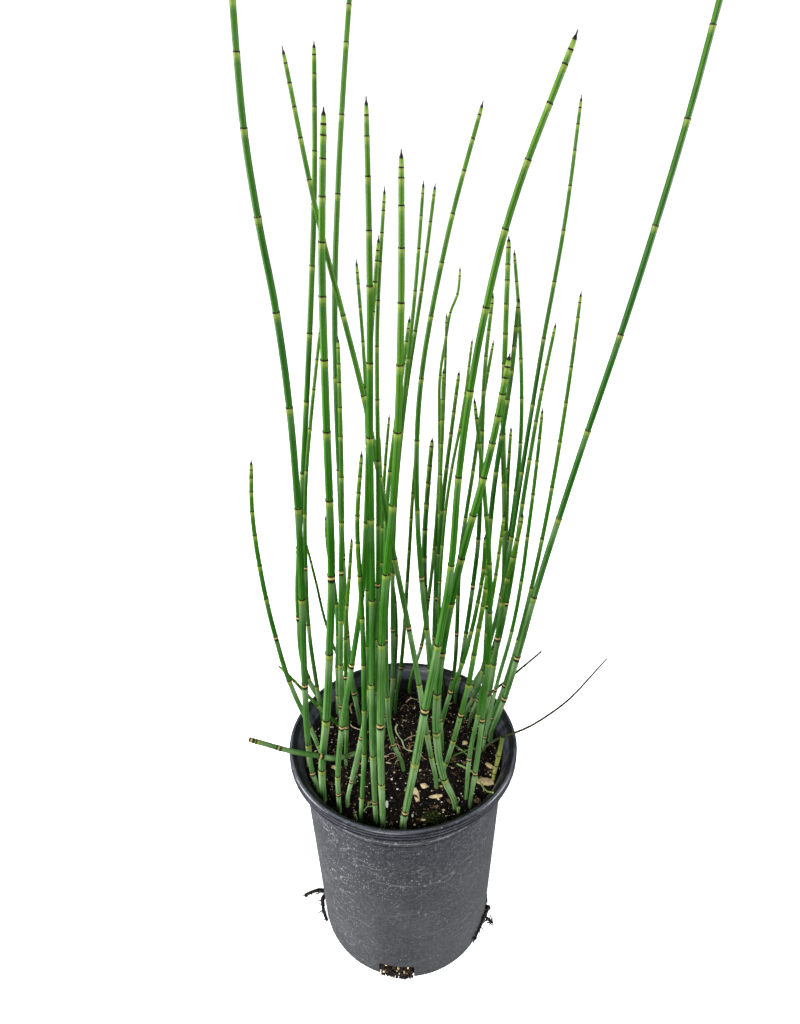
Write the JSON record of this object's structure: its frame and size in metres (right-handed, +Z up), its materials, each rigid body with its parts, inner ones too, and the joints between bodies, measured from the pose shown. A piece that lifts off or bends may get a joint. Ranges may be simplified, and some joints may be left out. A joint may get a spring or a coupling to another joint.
{
  "type": "horsetail plant",
  "caption": "Clump of upright jointed horsetail stems with dark pointed tips, standing in soil in a round black nursery pot.",
  "frame": {"origin": "centre of the pot's flat base, on the ground", "axes": "+Z up along the pot's axis, +X to the right and +Y to the back as seen from the front of the clump"},
  "size_m": [0.2633, 0.1934, 0.652],
  "materials": {
    "pot": "satin black-grey blow-moulded plastic with dust specks and scuffs, glossier at the lip",
    "soil": "moist crumbly peat and bark mix with white perlite and pale wood chips",
    "stem": "waxy finely ribbed green, with black and cream bands at the joints and black pointed tips",
    "dry_stem": "dull dry brown and straw yellow",
    "root": "dull black fibrous roots"
  },
  "bodies": {
    "root": {"pot": "pot", "soil": "soil", "stem_01": "stem", "stem_02": "stem", "stem_03": "stem", "stem_04": "stem", "stem_05": "stem", "stem_06": "stem", "stem_07": "stem", "stem_08": "stem", "stem_09": "stem", "stem_10": "stem", "stem_11": "stem", "stem_12": "stem", "stem_13": "stem", "stem_14": "stem", "stem_15": "stem", "stem_16": "stem", "stem_17": "stem", "stem_18": "stem", "stem_19": "stem", "stem_20": "stem", "stem_21": "stem", "stem_22": "stem", "stem_23": "stem", "stem_24": "stem", "stem_25": "stem", "stem_26": "stem", "stem_27": "stem", "stem_28": "stem", "stem_29": "stem", "stem_30": "stem", "stem_31": "stem", "stem_32": "stem", "stem_33": "stem", "stem_34": "stem", "stem_35": "stem", "stem_36": "stem", "stem_37": "stem", "stem_38": "stem", "stem_39": "stem", "stem_40": "stem", "stem_41": "stem", "stem_42": "stem", "stem_43": "stem", "stem_44": "stem", "stem_45": "stem", "stem_46": "stem", "stem_47": "stem", "stem_48": "stem", "stem_49": "stem", "leaning_stem_low": "stem", "leaning_stem_high": "stem", "dry_stalk_long": "dry_stem", "dry_stalk_short": "dry_stem", "dry_stub": "dry_stem", "dead_stem": "dry_stem", "drain_roots_left": "root", "drain_roots_right": "root"}
  },
  "joints": []
}
